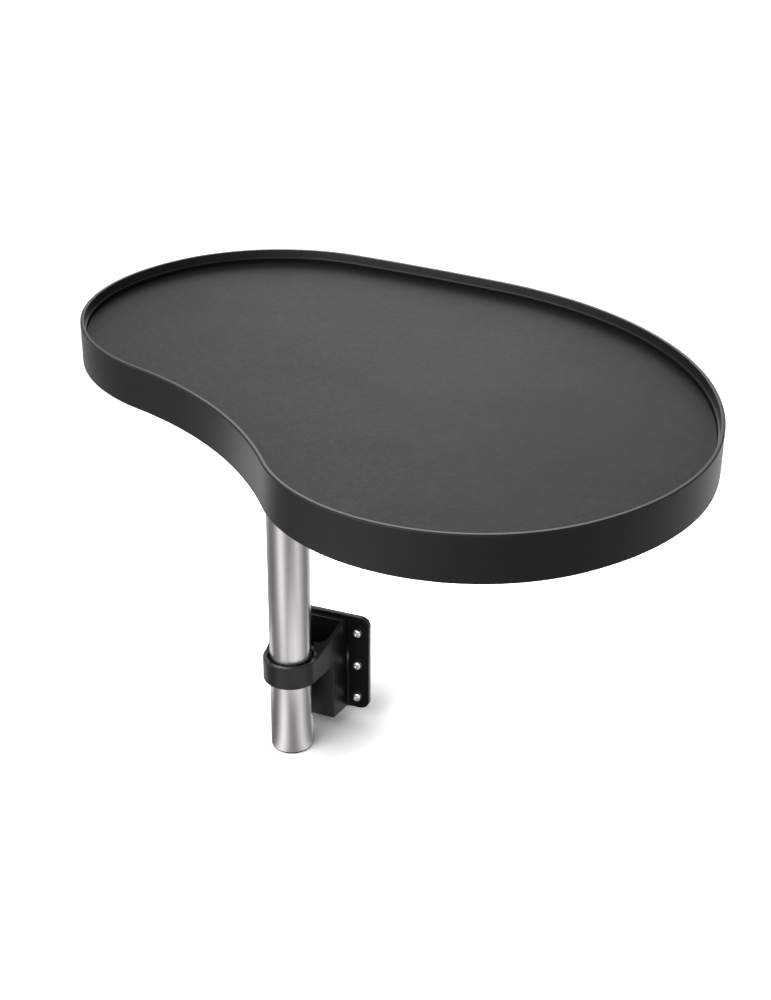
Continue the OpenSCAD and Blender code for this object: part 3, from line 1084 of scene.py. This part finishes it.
    def _spans(self, radius: float) -> list[list[Point]]:
        """The stretches of a circle about the pole that lie inside the tray's wall.

        Args:
            radius: radius of the circle.

        Returns:
            A list of points for each stretch, in the row frame.
        """
        border = self._border()
        steps = max(24, int(radius))
        spots = [about_pole(radius, 2 * math.pi * k / steps) for k in range(steps)]
        inside = [self._within(spot, border) for spot in spots]
        if all(inside):
            return [spots + spots[:1]]
        start = inside.index(False)
        out: list[list[Point]] = []
        now: list[Point] = []
        for k in range(start, start + steps + 1):
            if inside[k % steps]:
                now.append(spots[k % steps])
            elif now:
                out.append(now)
                now = []
        return out

    def _reach(self, angle: float) -> float:
        """How far a straight rib runs from the pole before it meets the wall.

        Args:
            angle: its direction in radians.

        Returns:
            The distance in millimetres.
        """
        border = self._border()
        reach = self.rib_start
        while self._within(about_pole(reach, angle), border):
            reach += self.reach_step
        return reach

    def _rib_tree(self) -> bpy.types.NodeTree:
        """The tree of the underside: straight bars on points, bars along edges, and bosses.

        Returns:
            The tree, whose geometry holds the marks kind, angle, reach and tall on its points.
        """
        t, ins = geometry_tree("tray_ribs", {
            "Rib thickness": self.rib_thick * MM, "Rib height": self.rib_tall * MM,
            "Boss radius": self.boss_radius * MM, "Boss height": (UNDER_Z - SEAT_Z) * MM})

        def read(name: str) -> Socket:
            """Reads a named number of the points."""
            return t.out("GeometryNodeInputNamedAttribute", {"data_type": "FLOAT"}, Name=name)

        def only(kind: Under) -> Socket:
            """Sorts out the points of one kind.

            Args:
                kind: the kind.

            Returns:
                The points.
            """
            same = t.out("FunctionNodeCompare", {"data_type": "FLOAT", "operation": "EQUAL"},
                         i0=read("kind"), i1=kind.value)
            return t.out("GeometryNodeSeparateGeometry", {"domain": "POINT"},
                         Geometry=ins["Geometry"], Selection=same)

        cube = t.out("GeometryNodeMeshCube", None, Size=(1.0, 1.0, 1.0))
        bar = t.out("GeometryNodeTransform", None, Geometry=cube, Translation=(0.5, 0.0, -0.5))
        bars = t.out("GeometryNodeInstanceOnPoints", None, Points=only(Under.BAR), Instance=bar,
                     Rotation=t.xyz(z=read("angle")),
                     Scale=t.xyz(read("reach"), ins["Rib thickness"], read("tall")))
        path = t.out("GeometryNodeMeshToCurve", None, i0=only(Under.CURVE))
        level = t.out("GeometryNodeSetCurveNormal", {"mode": "Z_UP"}, Curve=path)
        face = t.out("GeometryNodeCurvePrimitiveQuadrilateral", None, Width=ins["Rib thickness"],
                     Height=ins["Rib height"])
        hung = t.out("GeometryNodeTransform", None, Geometry=face,
                     Translation=t.xyz(y=t.math("MULTIPLY", ins["Rib height"], 0.5)))
        curved = t.out("GeometryNodeCurveToMesh", None, Curve=level, Profile_Curve=hung,
                       Fill_Caps=True)
        post = t.out("GeometryNodeMeshCylinder", None, Vertices=self.boss_sides,
                     Radius=ins["Boss radius"], Depth=ins["Boss height"])
        hanging = t.out("GeometryNodeTransform", None, Geometry=post,
                        Translation=t.xyz(z=t.math("MULTIPLY", ins["Boss height"], -0.5)))
        posts = t.out("GeometryNodeInstanceOnPoints", None, Points=only(Under.BOSS),
                      Instance=hanging)
        joined = t.node("GeometryNodeJoinGeometry")
        for made in (posts, curved, bars):
            t.feed(joined.inputs[0], made)
        return close_tree(t, joined.outputs[0], ins["Material"])

    def _under(self, material: bpy.types.Material) -> bpy.types.Object:
        """The ribs and bosses under the floor, sunk a little into it.

        Args:
            material: the tray's finish.

        Returns:
            The ribs and bosses as one piece.
        """
        spots: list[Triple] = []
        edges: list[tuple[int, int]] = []
        marks: dict[str, list[float]] = {"kind": [], "angle": [], "reach": [], "tall": []}

        def add(spot: Point, kind: Under, angle: float = 0.0, reach: float = 0.0,
                tall: float = 0.0) -> None:
            """Adds a point that the tree reads.

            Args:
                spot: its place in millimetres.
                kind: what the tree makes of it.
                angle: direction of a bar in radians.
                reach: length of a bar in millimetres.
                tall: height of a bar in millimetres.
            """
            spots.append((spot[0] * MM, spot[1] * MM, (UNDER_Z + self.rib_sink) * MM))
            for name, value in zip(marks, (kind.value, angle, reach * MM, tall * MM)):
                marks[name].append(value)

        start = self.rib_start + self.rib_thick / 2
        for k in range(self.rib_fan):
            a = math.radians((k + 0.5) * 360.0 / self.rib_fan + TRAY_TURN)
            add(about_pole(start, a), Under.BAR, a, self._reach(a) - start,
                self.rib_tall + self.rib_sink)
        inner = self.collar_in + self.rib_thick / 2
        for a in socket_screw_angles():
            add(about_pole(inner, a), Under.BAR, a, self.rib_start - inner,
                UNDER_Z - SEAT_Z + self.rib_sink)
            add(about_pole(SCREW_RING, a), Under.BOSS)
        for k in range(self.curved_ribs + 1):
            for span in self._spans(start + k * self.rib_pitch):
                first = len(spots)
                closed = math.dist(span[0], span[-1]) < CLOSE
                for spot in span[:-1] if closed else span:
                    add(spot, Under.CURVE)
                last = len(spots) - 1
                edges += [(n, n + 1) for n in range(first, last)]
                if closed:
                    edges.append((last, first))
        mesh = bpy.data.meshes.new("tray_under")
        mesh.from_pydata(spots, edges, [])
        for name, values in marks.items():
            write_marks(mesh, name, values)
        piece = object_from("tray_under", mesh)
        run_geometry(piece, self._rib_tree(), Material=material)
        tidy_shell(piece.data)
        bevel = piece.modifiers.new("rib_edges", "BEVEL")
        bevel.width = self.rib_edge * MM
        bevel.segments = 2
        bevel.limit_method = "ANGLE"
        bevel.angle_limit = math.radians(self.bevel_turn)
        apply_modifiers(piece)
        smoothed(piece)
        return piece


# ---------------------------------------------------------------- screws


# A head's crown: shares of its half width and of its height, and rounding in millimetres
CROWN = ((1.0, 0.0, 0.12), (1.0, 0.42, 0.5), (0.93, 0.68, 0.4), (0.72, 0.9, 0.4),
         (0.4, 0.985, 0.4), (0.0, 1.0, 0.0))
# A turn of the thread: whether it is on the crest, and shares of its pitch
THREAD = ((False, 0.3), (True, 0.55), (True, 0.65), (False, 0.9))
# The cross recess's slot as a share of its width, and how tall its cutter is in millimetres
SLOT_SHARE = 0.21
CUTTER_TALL = 4.0


@dataclass(frozen=True)
class ScrewForm:
    """The form of one screw, standing on its seat with its head up. In millimetres."""

    head_width: float
    head_tall: float
    shank_width: float
    length: float
    neck_width: float
    neck_long: float
    point: float
    recess_wide: float
    recess_deep: float
    thread_pitch: float = 1.8
    thread_deep: float = 0.45
    tip: float = 0.25
    segments: int = 40
    sharp: float = 38.0

    def template(self, name: str) -> bpy.types.Object:
        """Builds one screw.

        Args:
            name: name of the new object.

        Returns:
            The screw, without its recess.
        """
        neck, shank = self.neck_width / 2, self.shank_width / 2
        root = shank - self.thread_deep
        z = -self.length + self.point
        low = [(0.0, -self.length), (self.tip, -self.length), (root, z)]
        while z < -self.neck_long - self.thread_pitch:
            low += [(shank if crest else root, z + turn * self.thread_pitch)
                    for crest, turn in THREAD]
            z += self.thread_pitch
        low += [(root, -self.neck_long), (neck, -self.neck_long), (neck, 0.0)]
        crown = [(self.head_width / 2 * x, self.head_tall * y) for x, y, _ in CROWN]
        radii = [0.0] * len(low) + [radius for _, _, radius in CROWN]
        return turned(name, rounded(low + crown, radii, 2), self.segments)


def screw_tree(form: ScrewForm, template: bpy.types.Object) -> bpy.types.NodeTree:
    """The tree that cuts the cross recess and sets a screw on each point, turned by a seed.

    Args:
        form: the screw's form.
        template: one screw, standing on its seat.

    Returns:
        The tree.
    """
    t, ins = geometry_tree("screw_rows", {
        "Recess width": form.recess_wide * MM, "Recess slot": form.recess_wide * SLOT_SHARE * MM,
        "Recess floor": (form.head_tall - form.recess_deep) * MM, "Seed": Kind.INT,
        "Tilt": Kind.VECTOR})
    source = t.node("GeometryNodeObjectInfo", {"transform_space": "ORIGINAL"}, Object=template)
    wing = t.out("GeometryNodeMeshCube", None,
                 Size=t.xyz(ins["Recess width"], ins["Recess slot"], CUTTER_TALL * MM))
    up = t.xyz(z=t.math("ADD", ins["Recess floor"], CUTTER_TALL * MM / 2))
    first = t.out("GeometryNodeTransform", None, Geometry=wing, Translation=up)
    second = t.out("GeometryNodeTransform", None, Geometry=first, Rotation=(0.0, 0.0, math.pi / 2))
    cut = t.node("GeometryNodeMeshBoolean", {"operation": "DIFFERENCE"},
                 i0=source.outputs["Geometry"])
    for cutter in (first, second):
        t.feed(cut.inputs[1], cutter)
    angle = t.node("FunctionNodeRandomValue", {"data_type": "FLOAT"}, i2=0.0, i3=math.pi / 2,
                   Seed=ins["Seed"])
    placed = t.out("GeometryNodeInstanceOnPoints", None, Points=ins["Geometry"],
                   Instance=cut.outputs[0], Rotation=ins["Tilt"])
    spun = t.out("GeometryNodeRotateInstances", None, Instances=placed,
                 Rotation=t.xyz(z=angle.outputs[1]))
    return close_tree(t, spun, ins["Material"])


def screw_row(name: str, form: ScrewForm, seats: Sequence[Triple], tilt: float,
              material: bpy.types.Material, seed: int) -> bpy.types.Object:
    """Sets a screw on each seat.

    Args:
        name: name of the new object.
        form: the screw's form.
        seats: the middle of each seat, in millimetres in the row frame.
        tilt: turn of every screw about X, in radians.
        material: its finish.
        seed: seed of the turns about their own axes.

    Returns:
        The finished piece.
    """
    template = form.template(name + "_form")
    mesh = bpy.data.meshes.new(name)
    mesh.from_pydata([tuple(c * MM for c in seat) for seat in seats], [], [])
    piece = object_from(name, mesh)
    run_geometry(piece, screw_tree(form, template), Seed=seed, Tilt=(tilt, 0.0, 0.0),
                 Material=material)
    bpy.data.objects.remove(template)
    tidy_shell(piece.data, 2 * CLOSE)
    smoothed(piece, form.sharp)
    return piece


# ---------------------------------------------------------------- socket and swivel


@dataclass
class Swivel:
    """The socket under the tray, its screws, and the screw that keeps the tray on the pole."""

    socket: PackedPart = PackedPart("tray_socket", "socket_moulded", Body.TRAY, Slot.SOCKET, 0.6,
                                    shortest=0.6)
    grub: PackedPart = PackedPart("swivel_screw", "swivel_grub_screw", Body.TRAY,
                                  Slot.HIDDEN_SCREW, 0.25)
    screw: ScrewForm = ScrewForm(8.0, 2.4, 4.2, 13.0, 4.2, 6.0, 1.0, 4.4, 1.4)
    seed: int = 3

    def build(self, effects: Effects) -> None:
        """Builds the socket and its screws.

        Args:
            effects: the shared node groups.
        """
        steel = HIDDEN_SCREW_FINISH.material(effects)
        self.socket.build(SOCKET_FINISH.material(effects))
        seats = [(*about_pole(SCREW_RING, a), FLANGE_Z) for a in socket_screw_angles()]
        row = screw_row("socket_screws", self.screw, seats, math.pi, steel, self.seed)
        hand_over(row, steel, Body.TRAY,
                  ["socket_screw_%d" % (k + 1) for k in range(len(seats))])
        self.grub.build(steel)


# ---------------------------------------------------------------- pole


@dataclass
class Pole:
    """The brushed tube with its foot cap and swivel plug."""

    outer: float = 19.05
    inner: float = 17.55
    outer_round: float = 0.5
    inner_round: float = 0.3
    segments: int = 128
    cap: PackedPart = PackedPart("foot_cap", "foot_cap_moulded", Body.POLE, Slot.CAP, 0.5)
    plug: PackedPart = PackedPart("swivel_plug", "swivel_plug_moulded", Body.POLE, Slot.PLUG, 0.5)

    def build(self, effects: Effects) -> None:
        """Builds the tube, the cap and the plug.

        Args:
            effects: the shared node groups.
        """
        corners = [(self.outer, TUBE_Z), (self.outer, POLE_TOP_Z),
                   (self.inner, POLE_TOP_Z), (self.inner, TUBE_Z)]
        radii = [self.outer_round] * 2 + [self.inner_round] * 2
        tube = turned("pole_tube", rounded(corners, radii, 3), self.segments)
        tube.data.transform(Matrix.Translation((0.0, POLE_Y * MM, 0.0)))
        smoothed(tube)
        hand_over(tube, POLE_FINISH.material(effects), Body.POLE, ["pole"])
        self.cap.build(CAP_FINISH.material(effects))
        self.plug.build(PLUG_FINISH.material(effects))


# ---------------------------------------------------------------- bracket


@dataclass
class Bracket:
    """The wall bracket with its bush, clamping screw and wall screws. Sizes in millimetres."""

    body: PackedPart = PackedPart("bracket", "bracket_moulded", Body.BRACKET, Slot.BRACKET, 0.7,
                                  shortest=0.6)
    bush: PackedPart = PackedPart("collar_bush", "collar_bush_turned", Body.BRACKET, Slot.BUSH,
                                  0.4)
    grub: PackedPart = PackedPart("collar_screw", "collar_grub_screw", Body.BRACKET,
                                  Slot.HIDDEN_SCREW, 0.3)
    plate: float = 5.5
    # Painted shade: the plate's face shines less than the rest of the bracket
    plate_painted_shade: float = -0.8
    span: float = 86.0
    pitch: float = 35.5
    screw: ScrewForm = ScrewForm(7.8, 2.6, 4.8, 25.0, 5.2, 5.45, 4.0, 4.3, 1.5)
    seed: int = 11

    def build(self, effects: Effects) -> None:
        """Builds the bracket and what is fixed to it.

        Args:
            effects: the shared node groups.
        """
        body = self.body.build(BRACKET_FINISH.material(effects))
        # Painted shade on the plate's face: its shine is cut
        write_marks(body.data, "polish",
                    [self.plate_painted_shade if abs(v.co.y / MM + self.plate) < ON_PLATE else 0.0
                     for v in body.data.vertices])
        self.bush.build(BUSH_FINISH.material(effects))
        self.grub.build(HIDDEN_SCREW_FINISH.material(effects))
        seats = [(x * self.span / 2, -self.plate, z * self.pitch)
                 for x in (1, -1) for z in (1, 0, -1)]
        steel = WALL_SCREW_FINISH.material(effects)
        row = screw_row("wall_screws_set", self.screw, seats, math.pi / 2, steel, self.seed)
        hand_over(row, steel, Body.BRACKET,
                  ["wall_screw_%d" % (k + 1) for k in range(len(seats))])


# ---------------------------------------------------------------- studio


# What gloss mirrors of the floor, far from the pole and near it: azimuth from the front in
# degrees, and brightness
FAR_PANELS = (
    (-180, 1.0), (-150, 1.05), (-128, 0.60), (-108, 0.34), (-90, 0.20), (-72, 0.22), (-50, 0.35),
    (-30, 0.48), (-14, 0.56), (2, 0.46), (20, 0.34), (40, 0.22), (65, 0.24), (90, 0.30),
    (115, 0.50), (135, 0.76), (155, 0.98), (180, 1.0))
NEAR_PANELS = (
    (-180, 1.0), (-140, 0.55), (-105, 0.36), (-85, 0.22), (-70, 0.18), (-54, 0.27), (-40, 0.50),
    (-25, 1.22), (-12, 1.42), (2, 0.85), (18, 0.32), (36, 0.27), (54, 0.60), (71, 1.12),
    (88, 0.72), (108, 0.34), (135, 0.16), (155, 0.8), (180, 1.2))
# The same for what it mirrors above the horizon
SKY_PANELS = (
    (-180, 0.15), (-172, 0.50), (-159, 2.62), (-146, 0.3), (-128, 0.15), (-95, 0.9), (-70, 2.9),
    (-45, 5.6), (-20, 5.2), (5, 3.2), (30, 1.6), (60, 1.0), (105, 0.9), (145, 0.35), (180, 0.15))
# Cards on the floor that only gloss sees: place from the pole, core and edge radius in metres,
# and glow
CARDS = ((-0.72, 0.19, 0.05, 0.29, 0.85), (0.135, -0.175, 0.05, 0.13, 0.85),
         (-0.081, -0.183, 0.03, 0.11, -0.45), (-0.167, 0.030, 0.03, 0.10, 0.7),
         (0.086, 0.165, 0.04, 0.115, 0.8))
WHITE = (1.0, 1.0, 1.0, 1.0)


@dataclass(frozen=True)
class Softbox:
    """A soft lamp that stands round the pole and lights it without being mirrored. In metres."""

    name: str
    azimuth: float
    distance: float
    height: float
    size: float
    power: float
    target: Triple = (0.05, POLE_Y * MM, 0.15)

    def build(self) -> None:
        """Adds the lamp, which looks at its target."""
        lamp = bpy.data.lights.new(self.name, "AREA")
        lamp.shape = "SQUARE"
        lamp.size, lamp.energy = self.size, self.power
        made = bpy.data.objects.new(self.name, lamp)
        x, y = about_pole(self.distance / MM, math.radians(self.azimuth - 90.0))
        made.location = (x * MM, y * MM, self.height)
        look = Vector(self.target) - made.location
        made.rotation_euler = look.to_track_quat("-Z", "Y").to_euler()
        made.visible_glossy = False
        bpy.context.scene.collection.objects.link(made)


@dataclass
class Studio:
    """Floor, world, lamp and camera, in metres and degrees.

    Each range of four is the reach or height where a share starts to change and where it stops,
    and the share at either end.
    """

    lens: float = 56.27
    sensor: float = 36.0
    camera_place: Triple = (0.54758, -1.18570, 0.79417)
    azimuth: float = 22.0
    pitch: float = 25.715
    roll: float = 0.517
    lamp: Softbox = Softbox("front_softbox", -20.0, 1.3, 1.5, 1.2, 4.0)
    key_azimuth: float = -20.0
    key_elevation: float = 50.0
    key_edge: float = 0.35
    key_falloff: float = 1.5
    key_light: float = 2.8
    side_panels: Range = (0.15, 0.48, 0.74, 1.2)
    top_panels: Range = (0.52, 0.80, 1.0, 0.15)
    far_start: Point = (0.62, 0.82)
    # Floor brightness for the camera by reach from the foot: low near the foot, a painted shadow
    # round it, high beyond, where the tray's shadow clips to white
    foot_painted_shadow: Range = (0.035, 0.14, 0.75, 2.6)
    far_gain: Range = (0.45, 0.95, 1.0, 0.2)
    floor_half: float = 12.0
    floor_shade: float = 0.8

    def build(self) -> None:
        """Builds the studio and sets the view transform."""
        bpy.context.scene.view_settings.view_transform = "Standard"
        self._camera()
        self._world()
        self._floor()
        self.lamp.build()

    def _camera(self) -> None:
        """The camera at the photograph's place."""
        data = bpy.data.cameras.new("camera")
        data.lens, data.sensor_width, data.sensor_fit = self.lens, self.sensor, "AUTO"
        data.clip_start, data.clip_end = 0.01, 100.0
        made = bpy.data.objects.new("camera", data)
        a, p, r = (math.radians(v) for v in (self.azimuth, self.pitch, self.roll))
        ahead = Vector((-math.sin(a) * math.cos(p), math.cos(a) * math.cos(p), -math.sin(p)))
        flat = Vector((math.cos(a), math.sin(a), 0.0))
        upright = flat.cross(ahead)
        right = math.cos(r) * flat + math.sin(r) * upright
        up = -math.sin(r) * flat + math.cos(r) * upright
        turn = Matrix((right, up, -ahead)).transposed().to_4x4()
        made.matrix_world = Matrix.Translation(self.camera_place) @ turn
        bpy.context.scene.collection.objects.link(made)
        bpy.context.scene.camera = made

    @staticmethod
    def _panels(t: Tree, way: bpy.types.Node, stops: Sequence[tuple[float, float]]) -> Socket:
        """Brightness of the surroundings that gloss sees, by direction round the pole.

        Args:
            t: builder of the tree.
            way: the direction, split into its parts.
            stops: azimuth in degrees and brightness, from -180 to 180.

        Returns:
            A brightness socket.
        """
        turn = t.math("ARCTAN2", way.outputs["X"], t.math("MULTIPLY", way.outputs["Y"], -1.0))
        share = t.math("ADD", t.math("DIVIDE", turn, 2 * math.pi), 0.5)
        ramp = t.node("ShaderNodeValToRGB", None, Fac=share)
        ramp.color_ramp.interpolation = "B_SPLINE"
        elements = ramp.color_ramp.elements
        while len(elements) < len(stops):
            elements.new(0.5)
        brightest = max(value for _, value in stops)
        for element, (azimuth, value) in zip(elements, stops):
            element.position = azimuth / 360.0 + 0.5
            element.color = tint(WHITE, value / brightest)
        return t.math("MULTIPLY", ramp.outputs["Color"], brightest)

    @staticmethod
    def _rays(t: Tree) -> tuple[Socket, Socket]:
        """Sorts the rays.

        Args:
            t: builder of the tree.

        Returns:
            Whether a ray comes from the camera, and whether it comes from gloss.
        """
        rays = t.node("ShaderNodeLightPath").outputs
        seen = t.math("MAXIMUM", rays["Is Camera Ray"], rays["Is Transmission Ray"])
        return seen, rays["Is Glossy Ray"]

    def _world(self) -> None:
        """White for the camera, panels for gloss, and a broad key light for matt surfaces."""
        world = bpy.data.worlds.new("studio")
        bpy.context.scene.world = world
        t = bare_tree(world)
        place = t.node("ShaderNodeTexCoord").outputs["Generated"]
        split = t.node("ShaderNodeSeparateXYZ", None, i0=place)
        wrap = self._panels(t, split, SKY_PANELS)
        for band in (self.side_panels, self.top_panels):
            wrap = t.math("MULTIPLY", wrap, t.ramp(split.outputs["Z"], *band))
        a, e = math.radians(self.key_azimuth), math.radians(self.key_elevation)
        key = (math.sin(a) * math.cos(e), -math.cos(a) * math.cos(e), math.sin(e))
        facing = t.math("SUBTRACT", t.measure("DOT_PRODUCT", place, key), self.key_edge)
        lobe = t.math("DIVIDE", facing, 1.0 - self.key_edge, clamp=True)
        light = t.math("MULTIPLY", t.math("POWER", lobe, self.key_falloff), self.key_light)
        seen, glossy = self._rays(t)
        shade = t.mix_colour(seen, t.mix_colour(glossy, light, wrap), WHITE)
        t.node("ShaderNodeOutputWorld", None, Surface=t.out("ShaderNodeBackground", None,
                                                            Color=shade, Strength=1.0))

    def _floor(self) -> None:
        """A wide floor at the pole's foot: pale for the camera, with a painted shadow near the
        foot, panels and cards for gloss.
        """
        half, z = self.floor_half, FOOT_Z * MM
        mesh = bpy.data.meshes.new("studio_floor")
        mesh.from_pydata([(-half, -half, z), (half, -half, z), (half, half, z), (-half, half, z)],
                         [], [(0, 1, 2, 3)])
        made = object_from("studio_floor", mesh)
        material = bpy.data.materials.new("studio_floor")
        t = bare_tree(material)
        way = t.out("ShaderNodeVectorMath", {"operation": "SUBTRACT"}, i0=t.object_place(),
                    i1=(0.0, POLE_Y * MM, z))
        reach = t.measure("LENGTH", way)
        split = t.node("ShaderNodeSeparateXYZ", None, i0=way)
        panels = t.mix_colour(t.ramp(reach, *self.far_start), self._panels(t, split, NEAR_PANELS),
                              self._panels(t, split, FAR_PANELS))
        for x, y, core, edge, strength in CARDS:
            away = t.measure("DISTANCE", way, (x, y, 0.0))
            panels = t.math("ADD", panels, t.ramp(away, core, edge, strength, 0.0))
        # Painted shadow: the camera sees the floor darker near the foot
        painted_shadow_gain = t.math("MULTIPLY", t.ramp(reach, *self.foot_painted_shadow), t.ramp(reach, *self.far_gain))
        plain = t.out("ShaderNodeBsdfDiffuse", None, Color=tint(WHITE, self.floor_shade))
        bright = t.out("ShaderNodeBsdfDiffuse", None, Color=painted_shadow_gain)
        double = t.out("ShaderNodeAddShader", None, i0=plain, i1=bright)
        glow = t.out("ShaderNodeEmission", None, Color=panels, Strength=1.0)
        seen, glossy = self._rays(t)
        lit = t.out("ShaderNodeMixShader", None, i0=seen, i1=plain, i2=double)
        final = t.out("ShaderNodeMixShader", None, i0=glossy, i1=lit, i2=glow)
        t.node("ShaderNodeOutputMaterial", None, Surface=final)
        mesh.materials.append(material)


def main() -> None:
    """Builds every piece in order, then the studio."""
    logging.basicConfig(level=logging.INFO, format="%(message)s")
    effects = Effects()
    builders: list[Callable[[Effects], None]] = [
        TrayShell().build, Swivel().build, Pole().build, Bracket().build]
    for build in builders:
        build(effects)
    Studio().build()


if __name__ == "__main__":
    main()
